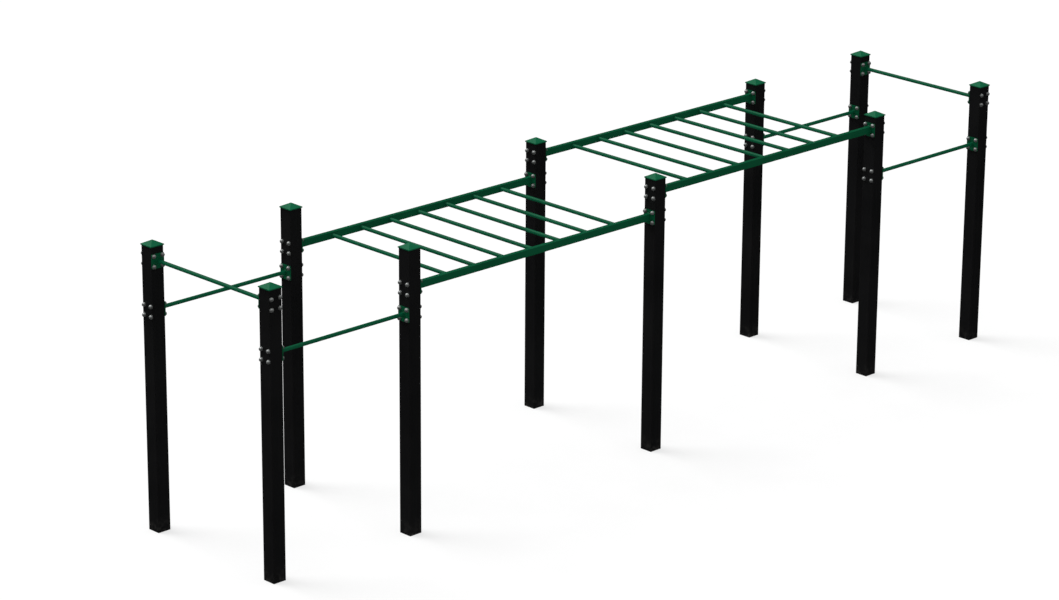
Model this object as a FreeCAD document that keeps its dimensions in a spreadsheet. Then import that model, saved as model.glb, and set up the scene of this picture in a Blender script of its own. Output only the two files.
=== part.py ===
import FreeCAD, Part
import math
import os
import re

import Sketcher
from FreeCAD import Placement, Rotation, Vector

# Outdoor monkey bars: five pairs of square steel posts carry two overhead ladders, one lower and one
# higher, with a bay of single bars at each end. Every rail and bar ends in a square flange that four
# through bolts clamp to a post, and each bolt end sits under a domed cover.
#
# Frame: origin on the ground under the middle of the frame, +X along the ladders towards the higher
# one, +Y towards the back row of posts, +Z up. Millimetres.

DIMENSIONS = {
    # posts
    "post_width": 120,
    "post_wall": 4,
    "post_corner": 3,
    "post_bore_corner": 1.5,
    "post_height": 2360,
    # plan
    "short_bay": 1400,
    "long_bay": 2700,
    "row_spacing": 1400,
    # heights of the tube axes above the ground
    "high_axis": 2245,
    "low_axis": 2040,
    "side_axis": 1835,
    # ladder rails, a rectangular tube standing on edge
    "rail_width": 40,
    "rail_height": 60,
    "rail_wall": 3,
    "rail_corner": 5,
    # round tubes
    "bar_diameter": 32,
    "bar_wall": 3,
    "rung_diameter": 32,
    "rung_wall": 2.5,
    "rung_inset": 422,
    # flanges
    "flange_size": 120,
    "flange_thickness": 8,
    "flange_corner": 10,
    "bolt_spacing": 84,
    "bolt_hole": 13,
    # post caps
    "cap_overhang": 6,
    "cap_corner": 3,
    "cap_rim": 8,
    "cap_rise": 32,
    "cap_tip": 6,
    "tip_corner": 1.5,
    "cap_wall": 3,
    "skirt_depth": 35,
    "skirt_clearance": 0.5,
    "skirt_corner": 4,
    "cavity_corner": 1.5,
    # fasteners
    "bolt_diameter": 12,
    "head_flats": 18,
    "head_height": 7.5,
    "nut_height": 6,
    "nut_bore": 12.2,
    "thread_proud": 2,
    "seat_diameter": 36,
    "seat_thickness": 3,
    "cover_diameter": 33,
    "cover_height": 18,
    "cover_skirt": 5,
    "cover_wall": 2,
}

RUNGS_PER_LADDER = 7
HOLES_PER_POST = 8
WALLS_PER_HOLE = 2
DRILLED_TOLERANCE = 0.01
HEXAGON_SIDES = 6
SIXTH_TURN_DEGREES = 60
QUARTER_TURN = math.radians(90)
BOLT_CORNERS = [(-1, -1), (1, -1), (1, 1), (-1, 1)]

document = FreeCAD.newDocument("MonkeyBars")
sheet = document.addObject("Spreadsheet::Sheet", "Dimensions")
nodes = []


def fill_sheet():
    for row, (alias, size) in enumerate(DIMENSIONS.items(), start=1):
        sheet.set(f"A{row}", alias)
        sheet.set(f"B{row}", str(size))
        sheet.setAlias(f"B{row}", alias)
    document.recompute()


def sized(formula):
    """Turn the aliases in a formula into references to the sheet."""
    return re.sub("[a-z_]+", lambda alias: f"Dimensions.{alias[0]}", formula)


def number(formula):
    """The present value of a formula in millimetres."""
    return float(sheet.evalExpression(sized(formula)))


# ---------------------------------------------------------------------------------------------------
# Bodies and sketches
# ---------------------------------------------------------------------------------------------------

def new_body(label, position):
    body = document.addObject("PartDesign::Body", label)
    body.Label = label
    for axis, formula in zip("xyz", position):
        body.setExpression(f"Placement.Base.{axis}", sized(formula))
    return body


def new_sketch(body, name, plane_role, lift=None):
    sketch = body.newObject("Sketcher::SketchObject", name)
    plane = next(item for item in body.Origin.OriginFeatures if item.Role == plane_role)
    sketch.AttachmentSupport = [(plane, "")]
    sketch.MapMode = "FlatFace"
    if lift:
        sketch.setExpression("AttachmentOffset.Base.z", sized(lift))
    return sketch


def dimension(sketch, name, kind, *where_and_formula):
    """Add a driving constraint whose size follows the sheet."""
    *where, formula = where_and_formula
    index = sketch.addConstraint(Sketcher.Constraint(kind, *where, number(formula)))
    sketch.renameConstraint(index, name)
    sketch.setExpression(f"Constraints.{name}", sized(formula))


def draw_circle(sketch, name, diameter, across="0", up="0"):
    centre = Vector(number(across), number(up), 0)
    circle = sketch.addGeometry(Part.Circle(centre, Vector(0, 0, 1), number(diameter) / 2))
    dimension(sketch, f"{name}_diameter", "Diameter", circle, diameter)
    if across == up == "0":
        sketch.addConstraint(Sketcher.Constraint("Coincident", circle, 3, -1, 1))
        return
    dimension(sketch, f"{name}_across", "DistanceX", -1, 1, circle, 3, across)
    dimension(sketch, f"{name}_up", "DistanceY", -1, 1, circle, 3, up)


def draw_rounded_rectangle(sketch, name, width, height, corner):
    """A rectangle centred on the sketch's origin, with four equal corner arcs."""
    x = number(width) / 2
    y = number(height) / 2
    r = number(corner)
    sides = [
        ((r - x, -y), (x - r, -y)),
        ((x, r - y), (x, y - r)),
        ((x - r, y), (r - x, y)),
        ((-x, y - r), (-x, r - y)),
    ]
    centres = [(x - r, r - y), (x - r, y - r), (r - x, y - r), (r - x, r - y)]
    lines = []
    for start, end in sides:
        lines.append(sketch.addGeometry(Part.LineSegment(Vector(*start, 0), Vector(*end, 0))))
    arcs = []
    for quarter, centre in enumerate(centres):
        circle = Part.Circle(Vector(*centre, 0), Vector(0, 0, 1), r)
        arc = Part.ArcOfCircle(circle, (quarter - 1) * QUARTER_TURN, quarter * QUARTER_TURN)
        arcs.append(sketch.addGeometry(arc))
    for side in range(4):
        after = (side + 1) % 4
        sketch.addConstraint(Sketcher.Constraint("Tangent", lines[side], 2, arcs[side], 1))
        sketch.addConstraint(Sketcher.Constraint("Tangent", arcs[side], 2, lines[after], 1))
        direction = "Horizontal" if side % 2 == 0 else "Vertical"
        sketch.addConstraint(Sketcher.Constraint(direction, lines[side]))
    for arc in arcs[1:]:
        sketch.addConstraint(Sketcher.Constraint("Equal", arcs[0], arc))
    sketch.addConstraint(Sketcher.Constraint("Symmetric", arcs[0], 3, arcs[2], 3, -1, 1))
    dimension(sketch, f"{name}_corner", "Radius", arcs[0], corner)
    dimension(sketch, f"{name}_width", "DistanceX", lines[3], 1, lines[1], 2, width)
    dimension(sketch, f"{name}_height", "DistanceY", lines[0], 2, lines[2], 1, height)


def draw_hexagon(sketch, flats):
    """A regular hexagon centred on the origin, two of its sides lying along the sketch's Y."""
    radius = number(flats) / 2
    guide = sketch.addGeometry(Part.Circle(Vector(0, 0, 0), Vector(0, 0, 1), radius), True)
    sketch.addConstraint(Sketcher.Constraint("Coincident", guide, 3, -1, 1))
    dimension(sketch, "flats", "Diameter", guide, flats)
    reach = radius / math.cos(math.radians(SIXTH_TURN_DEGREES / 2))
    corners = []
    for corner in range(HEXAGON_SIDES):
        turned = Rotation(Vector(0, 0, 1), SIXTH_TURN_DEGREES * (corner - 0.5))
        corners.append(turned.multVec(Vector(reach, 0, 0)))
    sides = []
    for corner in range(HEXAGON_SIDES):
        side = Part.LineSegment(corners[corner], corners[(corner + 1) % HEXAGON_SIDES])
        sides.append(sketch.addGeometry(side))
    for corner in range(HEXAGON_SIDES):
        after = (corner + 1) % HEXAGON_SIDES
        sketch.addConstraint(Sketcher.Constraint("Coincident", sides[corner], 2, sides[after], 1))
        sketch.addConstraint(Sketcher.Constraint("Tangent", sides[corner], guide))
    for side in sides[1:-1]:
        sketch.addConstraint(Sketcher.Constraint("Equal", sides[0], side))
    sketch.addConstraint(Sketcher.Constraint("Vertical", sides[0]))


def pad(body, sketch, length, side="One side", reverse=False):
    feature = body.newObject("PartDesign::Pad", "Pad")
    feature.Profile = sketch
    feature.setExpression("Length", sized(length))
    feature.SideType = side
    feature.Reversed = reverse
    return feature


def drill_through(body, sketch):
    """Cut the sketch's circles right through the body, both ways from its plane."""
    feature = body.newObject("PartDesign::Pocket", "Drill")
    feature.Profile = sketch
    feature.Type = "ThroughAll"
    feature.SideType = "Symmetric"
    return feature


# ---------------------------------------------------------------------------------------------------
# Layout: five columns of posts in two rows, and the members that join them
# ---------------------------------------------------------------------------------------------------

COLUMNS = ["-short_bay - long_bay", "-long_bay", "0", "long_bay", "long_bay + short_bay"]
ROWS = {"back": "row_spacing / 2", "front": "-row_spacing / 2"}

# Each member joins two posts (row, column), at the height of its axis.
MEMBERS = {
    "end_bar_left": ("bar", ("front", 0), ("back", 0), "high_axis"),
    "side_bar_back_left": ("bar", ("back", 0), ("back", 1), "side_axis"),
    "side_bar_front_left": ("bar", ("front", 0), ("front", 1), "side_axis"),
    "low_rail_back": ("rail", ("back", 1), ("back", 2), "low_axis"),
    "low_rail_front": ("rail", ("front", 1), ("front", 2), "low_axis"),
    "high_rail_back": ("rail", ("back", 2), ("back", 3), "high_axis"),
    "high_rail_front": ("rail", ("front", 2), ("front", 3), "high_axis"),
    "side_bar_back_right": ("bar", ("back", 3), ("back", 4), "side_axis"),
    "side_bar_front_right": ("bar", ("front", 3), ("front", 4), "side_axis"),
    "end_bar_right": ("bar", ("front", 4), ("back", 4), "high_axis"),
}


def runs_along_x(start, end):
    return start[0] == end[0]


def span_between(start, end):
    """Centre distance of the two posts that a member joins."""
    if not runs_along_x(start, end):
        return "row_spacing"
    return "short_bay" if {start[1], end[1]} in ({0, 1}, {3, 4}) else "long_bay"


def middle_of(start, end, height):
    across = f"( ( {COLUMNS[start[1]]} ) + ( {COLUMNS[end[1]]} ) ) / 2"
    along = f"( ( {ROWS[start[0]]} ) + ( {ROWS[end[0]]} ) ) / 2"
    return (across, along, height)


def flange_sites():
    """Each place where a member meets a post: member, its post, the way out of the post, the height."""
    for name, (kind, start, end, height) in MEMBERS.items():
        outward = Vector(1, 0, 0) if runs_along_x(start, end) else Vector(0, 1, 0)
        yield name, start, outward, height
        yield name, end, -outward, height


# ---------------------------------------------------------------------------------------------------
# Posts and caps
# ---------------------------------------------------------------------------------------------------

def make_post(row, column):
    label = f"post_{row}_{column + 1}"
    body = new_body(label, (COLUMNS[column], ROWS[row], "0"))
    outline = new_sketch(body, "Section", "XY_Plane")
    draw_rounded_rectangle(outline, "outer", "post_width", "post_width", "post_corner")
    inside = "post_width - 2 * post_wall"
    draw_rounded_rectangle(outline, "inner", inside, inside, "post_bore_corner")
    pad(body, outline, "post_height")
    for _, post, outward, height in flange_sites():
        if post != (row, column):
            continue
        plane = "YZ_Plane" if outward.x else "XZ_Plane"
        holes = new_sketch(body, "BoltHoles", plane)
        for count, (across, up) in enumerate(BOLT_CORNERS):
            side = f"{across} * bolt_spacing / 2"
            level = f"{height} + {up} * bolt_spacing / 2"
            draw_circle(holes, f"hole{count}", "bolt_hole", side, level)
        drill_through(body, holes)
    nodes.append(body)


def make_cap(row, column):
    """A hollow pressed cap: a rim on the post's end, a low pyramid above and a skirt inside the tube."""
    label = f"cap_{row}_{column + 1}"
    body = new_body(label, (COLUMNS[column], ROWS[row], "post_height"))
    width = "( post_width + 2 * cap_overhang )"
    skirt = "( post_width - 2 * post_wall - 2 * skirt_clearance )"
    cavity = f"( {skirt} - 2 * cap_wall )"
    slope = f"cap_rise / ( {width} - cap_tip )"
    shoulder = f"( cap_rim + {slope} * ( {width} - {cavity} ) - cap_wall )"
    peak = "( cap_rim + cap_rise - cap_wall )"

    rim = new_sketch(body, "Rim", "XY_Plane")
    draw_rounded_rectangle(rim, "rim", width, width, "cap_corner")
    pad(body, rim, "cap_rim")

    pyramid = body.newObject("PartDesign::AdditiveLoft", "Pyramid")
    base = new_sketch(body, "PyramidBase", "XY_Plane", "cap_rim")
    draw_rounded_rectangle(base, "base", width, width, "cap_corner")
    tip = new_sketch(body, "PyramidTip", "XY_Plane", "cap_rim + cap_rise")
    draw_rounded_rectangle(tip, "tip", "cap_tip", "cap_tip", "tip_corner")
    pyramid.Profile = base
    pyramid.Sections = [tip]
    pyramid.Ruled = True

    plug = new_sketch(body, "Skirt", "XY_Plane")
    draw_rounded_rectangle(plug, "plug", skirt, skirt, "skirt_corner")
    pad(body, plug, "skirt_depth", reverse=True)

    mouth = new_sketch(body, "Mouth", "XY_Plane", "-skirt_depth")
    draw_rounded_rectangle(mouth, "mouth", cavity, cavity, "cavity_corner")
    hollow = body.newObject("PartDesign::Pocket", "Hollow")
    hollow.Profile = mouth
    hollow.setExpression("Length", sized(f"skirt_depth + {shoulder}"))
    hollow.Reversed = True

    roof = body.newObject("PartDesign::SubtractiveLoft", "Roof")
    eaves = new_sketch(body, "Eaves", "XY_Plane", shoulder)
    draw_rounded_rectangle(eaves, "eaves", cavity, cavity, "cavity_corner")
    ridge = new_sketch(body, "Ridge", "XY_Plane", peak)
    draw_rounded_rectangle(ridge, "ridge", "cap_tip", "cap_tip", "tip_corner")
    roof.Profile = eaves
    roof.Sections = [ridge]
    roof.Ruled = True
    body.Tip = roof
    nodes.append(body)


# ---------------------------------------------------------------------------------------------------
# Rails, bars and rungs
# ---------------------------------------------------------------------------------------------------

def draw_round_tube(sketch, diameter, wall):
    draw_circle(sketch, "outer", diameter)
    draw_circle(sketch, "bore", f"{diameter} - 2 * {wall}")


def draw_rail(sketch):
    """The rail's section, drawn in a plane whose X is the rail's width and whose Y is its height."""
    draw_rounded_rectangle(sketch, "outer", "rail_width", "rail_height", "rail_corner")
    inner_width = "rail_width - 2 * rail_wall"
    inner_height = "rail_height - 2 * rail_wall"
    draw_rounded_rectangle(sketch, "inner", inner_width, inner_height, "rail_corner - rail_wall")


def make_member(name):
    """A rail or bar, welded end to end between its two flanges."""
    kind, start, end, height = MEMBERS[name]
    body = new_body(name, middle_of(start, end, height))
    section = new_sketch(body, "Section", "YZ_Plane" if runs_along_x(start, end) else "XZ_Plane")
    if kind == "rail":
        draw_rail(section)
    else:
        draw_round_tube(section, "bar_diameter", "bar_wall")
    length = f"{span_between(start, end)} - post_width - 2 * flange_thickness"
    pad(body, section, length, side="Symmetric")
    nodes.append(body)


def make_rungs(prefix, first_column, height):
    """The rungs of one ladder, evenly spaced and butted between the inner faces of its two rails."""
    for rung in range(RUNGS_PER_LADDER):
        steps = f"( long_bay - 2 * rung_inset ) * {rung} / {RUNGS_PER_LADDER - 1}"
        place = f"( {COLUMNS[first_column]} ) + rung_inset + {steps}"
        body = new_body(f"{prefix}_rung_{rung + 1}", (place, "0", height))
        section = new_sketch(body, "Section", "XZ_Plane")
        draw_round_tube(section, "rung_diameter", "rung_wall")
        pad(body, section, "row_spacing - rail_width", side="Symmetric")
        nodes.append(body)


def make_flange(name, post, outward, height):
    """One square flange with four bolt holes, lying flat on its post."""
    row, column = post
    place = {"x": f"( {COLUMNS[column]} )", "y": f"( {ROWS[row]} )", "z": height}
    axis = "x" if outward.x else "y"
    sign = "+" if outward.x + outward.y > 0 else "-"
    place[axis] += f" {sign} post_width / 2"
    body = new_body(name, tuple(place.values()))
    face = new_sketch(body, "Face", "YZ_Plane" if axis == "x" else "XZ_Plane")
    draw_rounded_rectangle(face, "face", "flange_size", "flange_size", "flange_corner")
    for count, (across, up) in enumerate(BOLT_CORNERS):
        side = f"{across} * bolt_spacing / 2"
        level = f"{up} * bolt_spacing / 2"
        draw_circle(face, f"hole{count}", "bolt_hole", side, level)
    # the YZ plane faces +X, but the XZ plane faces -Y
    faces_outward = outward.x > 0 or outward.y < 0
    pad(body, face, "flange_thickness", reverse=not faces_outward)
    return body


def make_flange_pair(name):
    ends = []
    for member, post, outward, height in flange_sites():
        if member == name:
            ends.append(make_flange(f"{name}_flange_{len(ends) + 1}", post, outward, height))
    pair = document.addObject("Part::Compound", f"flanges_{name}")
    pair.Label = f"flanges_{name}"
    pair.Links = ends
    nodes.append(pair)


# ---------------------------------------------------------------------------------------------------
# Fasteners: one pattern of each, copied to every bolt
# ---------------------------------------------------------------------------------------------------

def bolt_pattern():
    """A hexagon bolt, +Z along its shank from the underside of the head."""
    body = new_body("bolt_pattern", ("0", "0", "0"))
    head = new_sketch(body, "Head", "XY_Plane")
    draw_hexagon(head, "head_flats")
    pad(body, head, "head_height", reverse=True)
    shank = new_sketch(body, "Shank", "XY_Plane")
    draw_circle(shank, "shank", "bolt_diameter")
    grip = "post_width + flange_thickness + 2 * seat_thickness"
    pad(body, shank, f"{grip} + nut_height + thread_proud")
    return body


def nut_pattern():
    """A thin hexagon nut, +Z out of the face that turns away from the post."""
    body = new_body("nut_pattern", ("0", "0", "0"))
    blank = new_sketch(body, "Blank", "XY_Plane")
    draw_hexagon(blank, "head_flats")
    draw_circle(blank, "bore", "nut_bore")
    pad(body, blank, "nut_height")
    return body


def seat_pattern():
    """The flat washer that a cover snaps onto."""
    body = new_body("seat_pattern", ("0", "0", "0"))
    ring = new_sketch(body, "Ring", "XY_Plane")
    draw_circle(ring, "outer", "seat_diameter")
    draw_circle(ring, "bore", "bolt_hole")
    pad(body, ring, "seat_thickness")
    return body


def cover_pattern():
    """A hollow domed cover on a short straight skirt, +Z out of its crown."""
    body = new_body("cover_pattern", ("0", "0", "0"))
    profile = new_sketch(body, "HalfProfile", "XZ_Plane")
    sizes = {
        "outer": ("cover_diameter / 2", "cover_height"),
        "inner": ("cover_diameter / 2 - cover_wall", "cover_height - cover_wall"),
    }
    skirts = {}
    domes = {}
    for name, (radius, height) in sizes.items():
        edge, shoulder, crown = number(radius), number("cover_skirt"), number(height)
        sphere = (edge ** 2 + (crown - shoulder) ** 2) / (2 * (crown - shoulder))
        centre = Vector(0, crown - sphere, 0)
        start = Vector(edge, shoulder, 0).sub(centre).getAngle(Vector(1, 0, 0))
        skirt = Part.LineSegment(Vector(edge, 0, 0), Vector(edge, shoulder, 0))
        dome = Part.ArcOfCircle(Part.Circle(centre, Vector(0, 0, 1), sphere), start, QUARTER_TURN)
        skirts[name] = profile.addGeometry(skirt)
        domes[name] = profile.addGeometry(dome)
        profile.addConstraint(Sketcher.Constraint("Vertical", skirts[name]))
        profile.addConstraint(Sketcher.Constraint("Coincident", skirts[name], 2, domes[name], 1))
        profile.addConstraint(Sketcher.Constraint("PointOnObject", skirts[name], 1, -1))
        profile.addConstraint(Sketcher.Constraint("PointOnObject", domes[name], 3, -2))
        profile.addConstraint(Sketcher.Constraint("PointOnObject", domes[name], 2, -2))
        dimension(profile, f"{name}_radius", "DistanceX", -1, 1, skirts[name], 1, radius)
        dimension(profile, f"{name}_skirt", "DistanceY", -1, 1, skirts[name], 2, "cover_skirt")
        dimension(profile, f"{name}_height", "DistanceY", -1, 1, domes[name], 2, height)
    for end, (line, point) in {"base": (skirts, 1), "crown": (domes, 2)}.items():
        corners = [Vector(*profile.getPoint(line[name], point)[:2], 0) for name in sizes]
        join = profile.addGeometry(Part.LineSegment(*corners))
        profile.addConstraint(Sketcher.Constraint("Coincident", join, 1, line["outer"], point))
        profile.addConstraint(Sketcher.Constraint("Coincident", join, 2, line["inner"], point))
    turn = body.newObject("PartDesign::Revolution", "Turn")
    turn.Profile = profile
    turn.ReferenceAxis = (profile, ["V_Axis"])
    return body


def make_fasteners():
    bolt = bolt_pattern()
    nut = nut_pattern()
    seat = seat_pattern()
    cover = cover_pattern()
    document.recompute()
    groups = {"bolts": [], "nuts": [], "cover_seats": [], "bolt_covers": []}
    plain_face = -number("post_width / 2")
    flange_face = number("post_width / 2 + flange_thickness")
    seat_thickness = number("seat_thickness")
    reach = number("bolt_spacing / 2")
    for _, (row, column), outward, height in flange_sites():
        post_axis = Vector(number(COLUMNS[column]), number(ROWS[row]), number(height))
        across = outward.cross(Vector(0, 0, 1))
        inward_turn = Rotation(Vector(0, 0, 1), -outward)
        outward_turn = Rotation(Vector(0, 0, 1), outward)
        for side, up in BOLT_CORNERS:
            axis = post_axis + across * (side * reach) + Vector(0, 0, up * reach)

            def put(group, shape, station, turn):
                placed = shape.copy()
                placed.Placement = Placement(axis + outward * station, turn)
                groups[group].append(placed)

            put("bolts", bolt.Shape, plain_face - seat_thickness, outward_turn)
            put("nuts", nut.Shape, flange_face + seat_thickness, outward_turn)
            put("cover_seats", seat.Shape, plain_face, inward_turn)
            put("cover_seats", seat.Shape, flange_face, outward_turn)
            put("bolt_covers", cover.Shape, plain_face - seat_thickness, inward_turn)
            put("bolt_covers", cover.Shape, flange_face + seat_thickness, outward_turn)
    for label, shapes in groups.items():
        node = document.addObject("Part::Feature", label)
        node.Label = label
        node.Shape = Part.makeCompound(shapes)
        node.Placement = Placement()
        nodes.append(node)


# ---------------------------------------------------------------------------------------------------
# Checks and files
# ---------------------------------------------------------------------------------------------------

def check_document():
    for item in document.Objects:
        if {"Invalid", "Error"} & set(item.State):
            raise RuntimeError(f"{item.Label} failed: {item.State}")
    for node in nodes:
        if node.Shape.isNull() or not node.Shape.isValid():
            raise RuntimeError(f"{node.Label} has no valid shape")
        if not node.Shape.Solids:
            raise RuntimeError(f"{node.Label} has no solid")


def check_drilling():
    """Every post loses eight bolt holes, each through two walls."""
    solid_section = Part.makeCylinder(number("bolt_hole / 2"), number("post_wall")).Volume
    for node in nodes:
        if node.Label.startswith("post_"):
            before = node.Group[1].Shape.Volume
            lost = before - node.Shape.Volume
            expected = HOLES_PER_POST * WALLS_PER_HOLE * solid_section
            if abs(lost - expected) > DRILLED_TOLERANCE * expected:
                raise RuntimeError(f"{node.Label}: drilled {lost:.0f}, expected {expected:.0f} mm3")


def export_nodes():
    os.makedirs("parts", exist_ok=True)
    for node in nodes:
        node.Shape.exportStep(os.path.join("parts", f"{node.Label}.step"))


fill_sheet()
for row in ROWS:
    for column in range(len(COLUMNS)):
        make_post(row, column)
        make_cap(row, column)
for name in MEMBERS:
    make_member(name)
    make_flange_pair(name)
make_rungs("low", 1, "low_axis")
make_rungs("high", 2, "high_axis")
make_fasteners()
document.recompute()
check_document()
check_drilling()
export_nodes()
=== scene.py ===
"""Monkey bars with ten posts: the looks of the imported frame.

The frame's own nodes keep their shapes and take procedural finishes. The weld beads that join the
tubes to their flanges, and the rungs to their rails, are added as rippled meshes.
Lengths are in metres, in the frame's own axes: X along the run of posts, Y across it, Z up.
"""

import math
import random

import bpy
from mathutils import Matrix, Vector


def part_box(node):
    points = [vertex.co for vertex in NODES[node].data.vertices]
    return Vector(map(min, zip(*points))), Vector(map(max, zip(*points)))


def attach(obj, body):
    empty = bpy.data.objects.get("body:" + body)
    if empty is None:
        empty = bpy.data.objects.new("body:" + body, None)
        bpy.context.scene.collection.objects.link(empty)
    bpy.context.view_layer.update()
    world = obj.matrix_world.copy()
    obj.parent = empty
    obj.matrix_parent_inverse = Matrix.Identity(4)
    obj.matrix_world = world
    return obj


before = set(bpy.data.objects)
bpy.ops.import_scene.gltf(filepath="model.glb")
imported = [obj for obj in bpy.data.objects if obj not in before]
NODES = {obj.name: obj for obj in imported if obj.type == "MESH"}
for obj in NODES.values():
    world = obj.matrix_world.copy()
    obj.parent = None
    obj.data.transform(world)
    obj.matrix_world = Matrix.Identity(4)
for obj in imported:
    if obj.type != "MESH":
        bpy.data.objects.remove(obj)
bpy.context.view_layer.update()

ROOT = "root"
TURN = 2 * math.pi

# Camera: the place and the direction that the object is looked at from, and the lens, in millimetres.
LENS = 130.5077
SENSOR_WIDTH = 36.0
CLIP_NEAR = 0.5
CLIP_FAR = 1000.0
CAMERA_PLACE = Vector((-21.509, -21.5005, 11.5047))
CAMERA_FORWARD = Vector((0.65754, 0.680695, -0.322947))
CAMERA_RIGHT = Vector((0.720649, -0.693273, 0.0060328))


def make_camera():
    forward = CAMERA_FORWARD.normalized()
    right = (CAMERA_RIGHT - CAMERA_RIGHT.dot(forward) * forward).normalized()
    up = right.cross(forward)
    turned = Matrix((right, up, -forward)).transposed()
    data = bpy.data.cameras.new("camera")
    data.sensor_fit = "HORIZONTAL"
    data.sensor_width = SENSOR_WIDTH
    data.lens = LENS
    data.clip_start = CLIP_NEAR
    data.clip_end = CLIP_FAR
    camera = bpy.data.objects.new("camera", data)
    camera.matrix_world = Matrix.Translation(CAMERA_PLACE) @ turned.to_4x4()
    bpy.context.scene.collection.objects.link(camera)
    bpy.context.scene.camera = camera


make_camera()


# ---------------------------------------------------------------------------------------------
# Node helpers
# ---------------------------------------------------------------------------------------------


class Tree:
    """A material's node tree, with short calls for the nodes that the finishes are made of."""

    def __init__(self, name):
        self.material = bpy.data.materials.new(name)
        self.material.use_nodes = True
        self.nodes = self.material.node_tree.nodes
        self.links = self.material.node_tree.links
        self.shader = next(n for n in self.nodes if n.type == "BSDF_PRINCIPLED")
        self.place = self.nodes.new("ShaderNodeTexCoord").outputs["Object"]
        self.normal = self.nodes.new("ShaderNodeNewGeometry").outputs["Normal"]

    def plug(self, value, socket):
        """Links a socket's value to a socket, or sets a constant on it."""
        if isinstance(value, bpy.types.NodeSocket):
            self.links.new(value, socket)
        else:
            socket.default_value = value

    def stretched(self, scale):
        """The surface's place with each axis scaled, so that a pattern is drawn out along an axis."""
        mapping = self.nodes.new("ShaderNodeMapping")
        self.plug(self.place, mapping.inputs["Vector"])
        mapping.inputs["Scale"].default_value = scale
        return mapping.outputs["Vector"]

    def noise(self, scale, detail=2.0, roughness=0.5, place=None):
        """A cloudy pattern from 0 to 1. The scale is in clouds per metre."""
        node = self.nodes.new("ShaderNodeTexNoise")
        self.plug(place or self.place, node.inputs["Vector"])
        node.inputs["Scale"].default_value = scale
        node.inputs["Detail"].default_value = detail
        node.inputs["Roughness"].default_value = roughness
        return node.outputs["Fac"]

    def cells(self, scale):
        """A pattern of cells, with their distances and colours. The scale is in cells per metre."""
        node = self.nodes.new("ShaderNodeTexVoronoi")
        self.plug(self.place, node.inputs["Vector"])
        node.inputs["Scale"].default_value = scale
        return node

    def map(self, value, low, high, to_low=0.0, to_high=1.0):
        """Maps the range from low to high smoothly on to the other range, and holds the ends."""
        node = self.nodes.new("ShaderNodeMapRange")
        node.interpolation_type = "SMOOTHSTEP"
        self.plug(value, node.inputs["Value"])
        node.inputs["From Min"].default_value = low
        node.inputs["From Max"].default_value = high
        node.inputs["To Min"].default_value = to_low
        node.inputs["To Max"].default_value = to_high
        return node.outputs["Result"]

    def maths(self, operation, a, b=0.0):
        node = self.nodes.new("ShaderNodeMath")
        node.operation = operation
        self.plug(a, node.inputs[0])
        self.plug(b, node.inputs[1])
        return node.outputs["Value"]

    def axis(self, vector, name):
        node = self.nodes.new("ShaderNodeSeparateXYZ")
        self.plug(vector, node.inputs["Vector"])
        return node.outputs[name]

    def blend(self, factor, a, b):
        node = self.nodes.new("ShaderNodeMix")
        node.data_type = "RGBA"
        self.plug(factor, node.inputs["Factor"])
        self.plug(a, node.inputs["A"])
        self.plug(b, node.inputs["B"])
        return node.outputs["Result"]

    def bump(self, *layers):
        """Stacks layers of relief, each given as its height, its depth in metres and its strength."""
        normal = None
        for height, distance, strength in layers:
            node = self.nodes.new("ShaderNodeBump")
            node.inputs["Distance"].default_value = distance
            node.inputs["Strength"].default_value = strength
            self.plug(height, node.inputs["Height"])
            if normal is not None:
                self.plug(normal, node.inputs["Normal"])
            normal = node.outputs["Normal"]
        self.plug(normal, self.shader.inputs["Normal"])

    def finish(self, colour, roughness, specular, metallic=0.0):
        self.plug(colour, self.shader.inputs["Base Color"])
        self.plug(roughness, self.shader.inputs["Roughness"])
        self.shader.inputs["Specular IOR Level"].default_value = specular
        self.shader.inputs["Metallic"].default_value = metallic
        return self.material


def rgb(red, green, blue):
    return (red, green, blue, 1.0)


# ---------------------------------------------------------------------------------------------
# Finishes
# ---------------------------------------------------------------------------------------------

# Fine patterns' scales, in cells per metre.
ORANGE_PEEL = 620.0
SPECK = 2600.0
CAP_TEXTURE = 1400.0
COVER_TEXTURE = 2200.0
SPANGLE = 420.0

# Relief depths, in metres.
PEEL_DEPTH = 0.00006
SCUFF_DEPTH = 0.0001
DRAWN_DEPTH = 0.00012
CLOUD_DEPTH = 0.0008
FLOW_DEPTH = 0.0006
CAP_TEXTURE_DEPTH = 0.00008
COVER_TEXTURE_DEPTH = 0.00005
ZINC_DEPTH = 0.00006

# Colours, as linear red, green and blue.
FRAME_DEEP = (0.0004, 0.055, 0.0215)
FRAME_PALE = (0.0006, 0.063, 0.0250)
GRIP_DEEP = (0.0006, 0.064, 0.0265)
GRIP_PALE = (0.0009, 0.074, 0.0310)
RUBBED_GREEN = (0.0040, 0.090, 0.0450)
POST_DEEP = (0.0044, 0.0044, 0.0048)
POST_PALE = (0.0058, 0.0058, 0.0062)
POST_SPECK = (0.011, 0.011, 0.012)
POST_SCUFF = (0.022, 0.022, 0.023)
DUST = (0.10, 0.092, 0.08)
CAP_DEEP = (0.0012, 0.082, 0.034)
CAP_PALE = (0.0018, 0.092, 0.039)
CAP_GRIME = (0.006, 0.112, 0.054)
# Painted shade on the caps' sides and undersides.
CAP_PAINTED_SHADE = (0.0004, 0.034, 0.014)
COVER_DEEP = (0.052, 0.054, 0.053)
COVER_PALE = (0.070, 0.073, 0.071)
# Painted light on the covers' upper faces.
COVER_PAINTED_LIGHT = (0.27, 0.285, 0.277)
ZINC_BRIGHT = (0.62, 0.63, 0.65)
ZINC_DULL = (0.40, 0.41, 0.43)
FLOOR_DEEP = (0.215, 0.215, 0.215)
FLOOR_PALE = (0.225, 0.225, 0.225)

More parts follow.
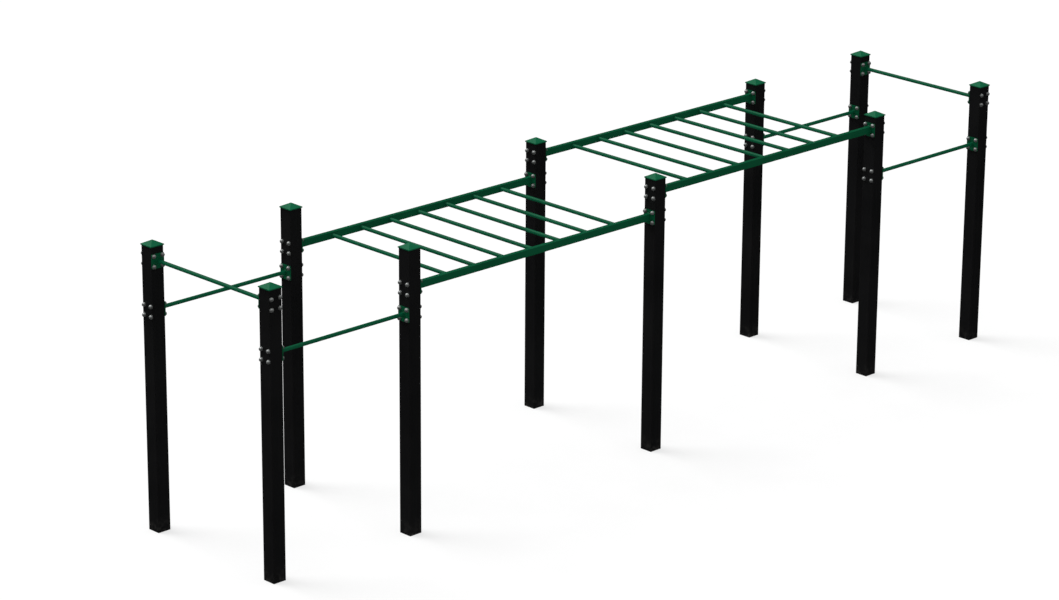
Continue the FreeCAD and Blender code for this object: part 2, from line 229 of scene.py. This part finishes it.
# Levels of the shader's specular socket.
FRAME_SPECULAR = 0.045
GRIP_SPECULAR = 0.055
WELD_SPECULAR = 0.08
POST_SPECULAR = 0.16
CAP_SPECULAR = 0.055
COVER_SPECULAR = 0.8
ZINC_SPECULAR = 0.5

# Shares of a surface that has been rubbed by hands and weather.
FRAME_WEAR = 0.2
GRIP_WEAR = 0.4
WELD_WEAR = 0.3

DUST_HEIGHT = 0.16  # how far dust reaches up a post from the ground


def powder_coat(name, deep, pale, rubbed, specular, worn):
    """Satin powder coat over steel: orange peel, slight clouding, and rubbed patches that face up."""
    t = Tree(name)
    clouds = t.noise(2.6, 3.0, 0.6)
    patches = t.noise(38.0, 4.0, 0.65)
    grain = t.noise(SPECK, 1.0)
    peel = t.noise(ORANGE_PEEL, 2.0, 0.45)
    scuffs = t.noise(60.0, 5.0, 0.7, t.stretched((0.35, 1.0, 1.0)))
    colour = t.blend(t.map(clouds, 0.32, 0.68), rgb(*deep), rgb(*pale))
    colour = t.blend(t.map(grain, 0.55, 0.85, 0.0, 0.22), colour, rgb(*pale))
    facing_up = t.map(t.axis(t.normal, "Z"), 0.1, 0.95)
    wear = t.maths("MULTIPLY", t.map(patches, 0.5, 0.74, 0.0, worn), facing_up)
    wear = t.maths("ADD", wear, t.map(scuffs, 0.66, 0.78, 0.0, 0.5 * worn))
    colour = t.blend(wear, colour, rgb(*rubbed))
    roughness = t.map(patches, 0.3, 0.7, 0.40, 0.50)
    roughness = t.maths("SUBTRACT", roughness, t.maths("MULTIPLY", wear, 0.12))
    t.bump((peel, PEEL_DEPTH, 0.55), (scuffs, SCUFF_DEPTH, 0.15), (clouds, CLOUD_DEPTH, 0.2))
    return t.finish(colour, roughness, specular)


def post_coat():
    """Satin black on the posts: orange peel, faint lines along the drawn tube, and dust at the foot."""
    t = Tree("post_black")
    clouds = t.noise(1.8, 3.0, 0.6)
    peel = t.noise(ORANGE_PEEL, 2.0, 0.45)
    grain = t.noise(SPECK, 1.0)
    drawn = t.noise(90.0, 3.0, 0.55, t.stretched((1.0, 1.0, 0.03)))
    scuffs = t.noise(75.0, 5.0, 0.7, t.stretched((1.0, 1.0, 0.22)))
    colour = t.blend(t.map(clouds, 0.3, 0.7), rgb(*POST_DEEP), rgb(*POST_PALE))
    colour = t.blend(t.map(grain, 0.55, 0.85, 0.0, 0.3), colour, rgb(*POST_SPECK))
    colour = t.blend(t.map(scuffs, 0.66, 0.80, 0.0, 0.35), colour, rgb(*POST_SCUFF))
    near_ground = t.map(t.axis(t.place, "Z"), 0.0, DUST_HEIGHT, 1.0, 0.0)
    dust = t.maths("MULTIPLY", near_ground, t.map(t.noise(26.0, 5.0, 0.7), 0.42, 0.72))
    colour = t.blend(t.maths("MULTIPLY", dust, 0.16), colour, rgb(*DUST))
    roughness = t.map(clouds, 0.3, 0.7, 0.42, 0.52)
    roughness = t.maths("ADD", roughness, t.maths("MULTIPLY", dust, 0.25))
    t.bump((peel, PEEL_DEPTH, 0.55), (drawn, DRAWN_DEPTH, 0.25), (scuffs, SCUFF_DEPTH, 0.15))
    return t.finish(colour, roughness, POST_SPECULAR)


def cap_plastic():
    """The caps: moulded plastic with a fine texture, slow flow marks and painted shade on the faces that
    don't face up.
    """
    t = Tree("cap_green")
    flow = t.noise(9.0, 2.0, 0.55)
    texture = t.cells(CAP_TEXTURE).outputs["Distance"]
    grime = t.noise(55.0, 5.0, 0.7)
    colour = t.blend(t.map(flow, 0.35, 0.65), rgb(*CAP_DEEP), rgb(*CAP_PALE))
    colour = t.blend(t.map(grime, 0.56, 0.80, 0.0, 0.35), colour, rgb(*CAP_GRIME))
    # Painted shade: faces that turn away from the sky are darkened towards a deeper green.
    painted_shade = t.map(t.axis(t.normal, "Z"), 0.10, 0.60, 0.45, 0.0)
    colour = t.blend(painted_shade, colour, rgb(*CAP_PAINTED_SHADE))
    roughness = t.map(t.noise(70.0, 3.0), 0.3, 0.7, 0.34, 0.46)
    t.bump((texture, CAP_TEXTURE_DEPTH, 0.5), (flow, FLOW_DEPTH, 0.3))
    return t.finish(colour, roughness, CAP_SPECULAR)


def cover_plastic():
    """Bolt covers and their seats: satin moulded grey, with painted light on the faces that turn up."""
    t = Tree("cover_grey")
    chalk = t.noise(190.0, 4.0, 0.6)
    texture = t.cells(COVER_TEXTURE).outputs["Distance"]
    colour = t.blend(t.map(chalk, 0.35, 0.7), rgb(*COVER_DEEP), rgb(*COVER_PALE))
    # Painted light: faces turned up are lightened towards a pale grey.
    facing_up = t.map(t.axis(t.normal, "Z"), 0.0, 0.85)
    colour = t.blend(t.maths("MULTIPLY", facing_up, 0.75), colour, rgb(*COVER_PAINTED_LIGHT))
    roughness = t.map(chalk, 0.3, 0.7, 0.26, 0.38)
    t.bump((texture, COVER_TEXTURE_DEPTH, 0.5))
    return t.finish(colour, roughness, COVER_SPECULAR)


def zinc_plate():
    """Bright zinc on the bolts and nuts, under the covers: spangle, dulled in patches."""
    t = Tree("zinc_steel")
    spangle = t.cells(SPANGLE).outputs["Color"]
    dull = t.noise(160.0, 4.0, 0.6)
    colour = t.blend(t.map(dull, 0.4, 0.7), rgb(*ZINC_BRIGHT), rgb(*ZINC_DULL))
    colour = t.blend(0.08, colour, spangle)
    roughness = t.map(dull, 0.3, 0.7, 0.28, 0.48)
    t.bump((dull, ZINC_DEPTH, 0.4))
    return t.finish(colour, roughness, ZINC_SPECULAR, metallic=1.0)


FRAME_GREEN = powder_coat("frame_green", FRAME_DEEP, FRAME_PALE, RUBBED_GREEN, FRAME_SPECULAR, FRAME_WEAR)
GRIP_GREEN = powder_coat("grip_green", GRIP_DEEP, GRIP_PALE, RUBBED_GREEN, GRIP_SPECULAR, GRIP_WEAR)
WELD_GREEN = powder_coat("weld_green", FRAME_DEEP, FRAME_DEEP, FRAME_PALE, WELD_SPECULAR, WELD_WEAR)
POST_BLACK = post_coat()
CAP_GREEN = cap_plastic()
COVER_GREY = cover_plastic()
ZINC_STEEL = zinc_plate()

# Each finish with the starts of its nodes' names. The first match counts.
FINISHES = (
    (COVER_GREY, ("bolt_covers", "cover_seats")),
    (ZINC_STEEL, ("bolts", "nuts")),
    (GRIP_GREEN, ("end_bar", "side_bar", "low_rung", "high_rung")),
    (POST_BLACK, ("post",)),
    (CAP_GREEN, ("cap",)),
    (FRAME_GREEN, ("low_rail", "high_rail", "flanges")),
)


def finish_of(name):
    return next(finish for finish, starts in FINISHES if name.startswith(starts))


for name, node in NODES.items():
    for holder in node.material_slots:
        holder.material = finish_of(name)


# ---------------------------------------------------------------------------------------------
# Weld beads
# ---------------------------------------------------------------------------------------------

LEG = 0.0052  # how far a bead reaches along the tube and along the plate
SINK = 0.0005  # how far its root is let into both
RIPPLE_PITCH = 0.0034
RIPPLE_STEPS = 6
RIPPLE_DEPTH = 0.10  # share of the leg
RIPPLE_LEAN = 0.75  # below 1, a ripple's crest comes early in its pitch
PROFILE_STEPS = 8
BULGE = 1.35  # 2 gives a flat face between the legs, 1 a round one
SWELL = 0.06  # most that one ripple is larger or smaller than the next
BOW = 0.32  # share of a pitch by which the middle of a ripple leads its ends
RAIL_CORNER = 0.005  # radius of the rails' own long edges


def outline(half_width, half_height, radius):
    """Points and outward directions round a rectangle with rounded corners, and the ripples on them."""
    straight_w, straight_h = half_width - radius, half_height - radius
    corners = ((1, 1), (-1, 1), (-1, -1), (1, -1))
    runs = []
    for quarter, (cx, cy) in enumerate(corners):
        centre = (cx * straight_w, cy * straight_h)
        start = quarter * TURN / 4
        arc_length = radius * TURN / 4
        runs.append(("arc", centre, start, arc_length))
        length = 2 * (straight_w if quarter % 2 == 0 else straight_h)
        if length > 0:
            runs.append(("line", centre, start + TURN / 4, length))
    total = sum(run[3] for run in runs)
    ripples = round(total / RIPPLE_PITCH)
    count = ripples * RIPPLE_STEPS
    points = []
    for i in range(count):
        along = i / count * total
        for kind, (cx, cy), angle, length in runs:
            if along <= length:
                break
            along -= length
        if kind == "arc":
            turned = angle + along / radius
            out = (math.cos(turned), math.sin(turned))
            points.append(((cx + radius * out[0], cy + radius * out[1]), out))
        else:
            out = (math.cos(angle), math.sin(angle))
            ahead = (-out[1], out[0])
            point = (cx + radius * out[0] + ahead[0] * along, cy + radius * out[1] + ahead[1] * along)
            points.append((point, out))
    return points, ripples


def bead(verts, faces, origin, across, upward, away, loop, ripples, seed):
    """One closed bead round a tube, on the plate whose outward direction is away."""
    draw = random.Random(seed)
    swell = [1.0 + draw.uniform(-SWELL, SWELL) for _ in range(ripples)]
    first = len(verts)
    ring = PROFILE_STEPS + 2
    count = len(loop)
    for i, ((px, py), (ox, oy)) in enumerate(loop):
        foot = origin + across * px + upward * py
        out = across * ox + upward * oy
        for j in range(PROFILE_STEPS + 1):
            share = j / PROFILE_STEPS
            phase = i / RIPPLE_STEPS + BOW * math.sin(math.pi * share)
            crest = math.sin(math.pi * (phase % 1.0) ** RIPPLE_LEAN)
            size = swell[int(phase) % ripples] * (1.0 - RIPPLE_DEPTH + RIPPLE_DEPTH * crest)
            angle = share * math.pi / 2
            reach = LEG * size
            on_plate = reach * math.cos(angle) ** BULGE - SINK
            on_tube = reach * math.sin(angle) ** BULGE - SINK
            verts.append(foot + out * on_plate + away * on_tube)
        verts.append(foot - out * SINK - away * SINK)
    for i in range(count):
        here, there = first + i * ring, first + (i + 1) % count * ring
        for j in range(ring):
            k = (j + 1) % ring
            faces.append((here + j, here + k, there + k, there + j))


def make_piece(name, verts, faces, material):
    mesh = bpy.data.meshes.new(name)
    mesh.from_pydata([tuple(v) for v in verts], [], faces)
    mesh.validate()
    mesh.materials.append(material)
    for polygon in mesh.polygons:
        polygon.use_smooth = True
    piece = bpy.data.objects.new(name, mesh)
    bpy.context.scene.collection.objects.link(piece)
    return piece


def weld_member(name, long_axis, corner=None):
    """The two beads at the ends of a tube that runs along X (0) or Y (1). With no corner, it is round."""
    low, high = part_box(name)
    middle = (low + high) / 2
    side_axis = 1 - long_axis
    across = Vector((0, 0, 0))
    across[side_axis] = 1
    upward = Vector((0, 0, 1))
    half_width, half_height = (high - low)[side_axis] / 2, (high - low).z / 2
    radius = half_height if corner is None else corner
    loop, ripples = outline(half_width, half_height, radius)
    verts, faces = [], []
    for end, away in ((low, 1), (high, -1)):
        origin = middle.copy()
        origin[long_axis] = end[long_axis]
        direction = Vector((0, 0, 0))
        direction[long_axis] = away
        bead(verts, faces, origin, across, upward, direction, loop, ripples, f"{name}{away}")
    piece = make_piece("weld_" + name, verts, faces, WELD_GREEN)
    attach(piece, ROOT)


ALONG_X, ALONG_Y = 0, 1
for name in sorted(NODES):
    if name.startswith(("low_rail", "high_rail")):
        weld_member(name, ALONG_X, RAIL_CORNER)
    elif name.startswith("side_bar"):
        weld_member(name, ALONG_X)
    elif name.startswith(("end_bar", "low_rung", "high_rung")):
        weld_member(name, ALONG_Y)


# ---------------------------------------------------------------------------------------------
# Floor, light and surroundings
# ---------------------------------------------------------------------------------------------

FLOOR_REACH = 400.0
FLOOR_DROP = 0.0004  # keeps the floor clear of the posts' feet
FLOOR_GLOW = 0.69  # lifts the floor to white, so that shadows stay faint
FLOOR_ROUGHNESS = 0.9
WHITE = (1.0, 1.0, 1.0)
SUN_ENERGY = 2.8
SUN_ANGLE = 34.0  # degrees across, for soft shadows
SUN_ELEVATION = 56.0
SUN_TOWARDS = (-0.35, 0.93, 0.0)

# Grey levels from straight down (0) through the horizon (0.5) to straight up (1).
SOFT_LIGHT = [(0.0, 0.55), (0.45, 0.75), (0.55, 0.95), (1.0, 0.75)]
REFLECTED_STUDIO = [(0.0, 0.01), (0.5, 0.015), (0.75, 0.05), (1.0, 1.0)]


def make_floor():
    r = FLOOR_REACH
    corners = [(-r, -r, -FLOOR_DROP), (r, -r, -FLOOR_DROP), (r, r, -FLOOR_DROP), (-r, r, -FLOOR_DROP)]
    mesh = bpy.data.meshes.new("floor")
    mesh.from_pydata(corners, [], [(0, 1, 2, 3)])
    t = Tree("floor_pale")
    tone = t.map(t.noise(1.4, 4.0, 0.55), 0.3, 0.7)
    colour = t.blend(tone, rgb(*FLOOR_DEEP), rgb(*FLOOR_PALE))
    t.shader.inputs["Emission Color"].default_value = rgb(*WHITE)
    t.shader.inputs["Emission Strength"].default_value = FLOOR_GLOW
    mesh.materials.append(t.finish(colour, FLOOR_ROUGHNESS, specular=0.0))
    floor = bpy.data.objects.new("floor", mesh)
    bpy.context.scene.collection.objects.link(floor)
    floor.visible_glossy = False
    floor.visible_diffuse = False


def make_sun():
    data = bpy.data.lights.new("sun", "SUN")
    data.energy = SUN_ENERGY
    data.angle = math.radians(SUN_ANGLE)
    sun = bpy.data.objects.new("sun", data)
    towards = Vector(SUN_TOWARDS).normalized() * math.cos(math.radians(SUN_ELEVATION))
    towards.z = math.sin(math.radians(SUN_ELEVATION))
    sun.rotation_mode = "QUATERNION"
    sun.rotation_quaternion = towards.to_track_quat("Z", "Y")
    bpy.context.scene.collection.objects.link(sun)


def make_world():
    """Soft light from all round, a dark studio with a bright ceiling for reflections, and white behind."""
    world = bpy.data.worlds.new("studio")
    bpy.context.scene.world = world
    world.use_nodes = True
    world.cycles.sampling_method = "NONE"
    nodes, links = world.node_tree.nodes, world.node_tree.links
    nodes.clear()
    up = nodes.new("ShaderNodeSeparateXYZ")
    links.new(nodes.new("ShaderNodeTexCoord").outputs["Generated"], up.inputs["Vector"])

    def graded(stops):
        """A background whose grey level changes with the height of the direction."""
        ramp = nodes.new("ShaderNodeValToRGB")
        height = nodes.new("ShaderNodeMapRange")
        links.new(up.outputs["Z"], height.inputs["Value"])
        height.inputs["From Min"].default_value = -1.0
        links.new(height.outputs["Result"], ramp.inputs["Fac"])
        ramp.color_ramp.interpolation = "EASE"
        while len(ramp.color_ramp.elements) < len(stops):
            ramp.color_ramp.elements.new(0.5)
        for element, (place, level) in zip(ramp.color_ramp.elements, stops):
            element.position = place
            element.color = rgb(level, level, level)
        background = nodes.new("ShaderNodeBackground")
        links.new(ramp.outputs["Color"], background.inputs["Color"])
        return background.outputs["Background"]

    def chosen(ray, otherwise, when):
        """One background for one kind of ray, and another for every other kind."""
        mix = nodes.new("ShaderNodeMixShader")
        links.new(rays.outputs[ray], mix.inputs["Fac"])
        links.new(otherwise, mix.inputs[1])
        links.new(when, mix.inputs[2])
        return mix.outputs["Shader"]

    rays = nodes.new("ShaderNodeLightPath")
    soft = graded(SOFT_LIGHT)
    studio = graded(REFLECTED_STUDIO)
    behind = nodes.new("ShaderNodeBackground")
    behind.inputs["Color"].default_value = rgb(*WHITE)
    shader = chosen("Is Glossy Ray", soft, studio)
    shader = chosen("Is Camera Ray", shader, behind.outputs["Background"])
    output = nodes.new("ShaderNodeOutputWorld")
    links.new(shader, output.inputs["Surface"])


make_floor()
make_sun()
make_world()
bpy.context.scene.view_settings.view_transform = "Standard"
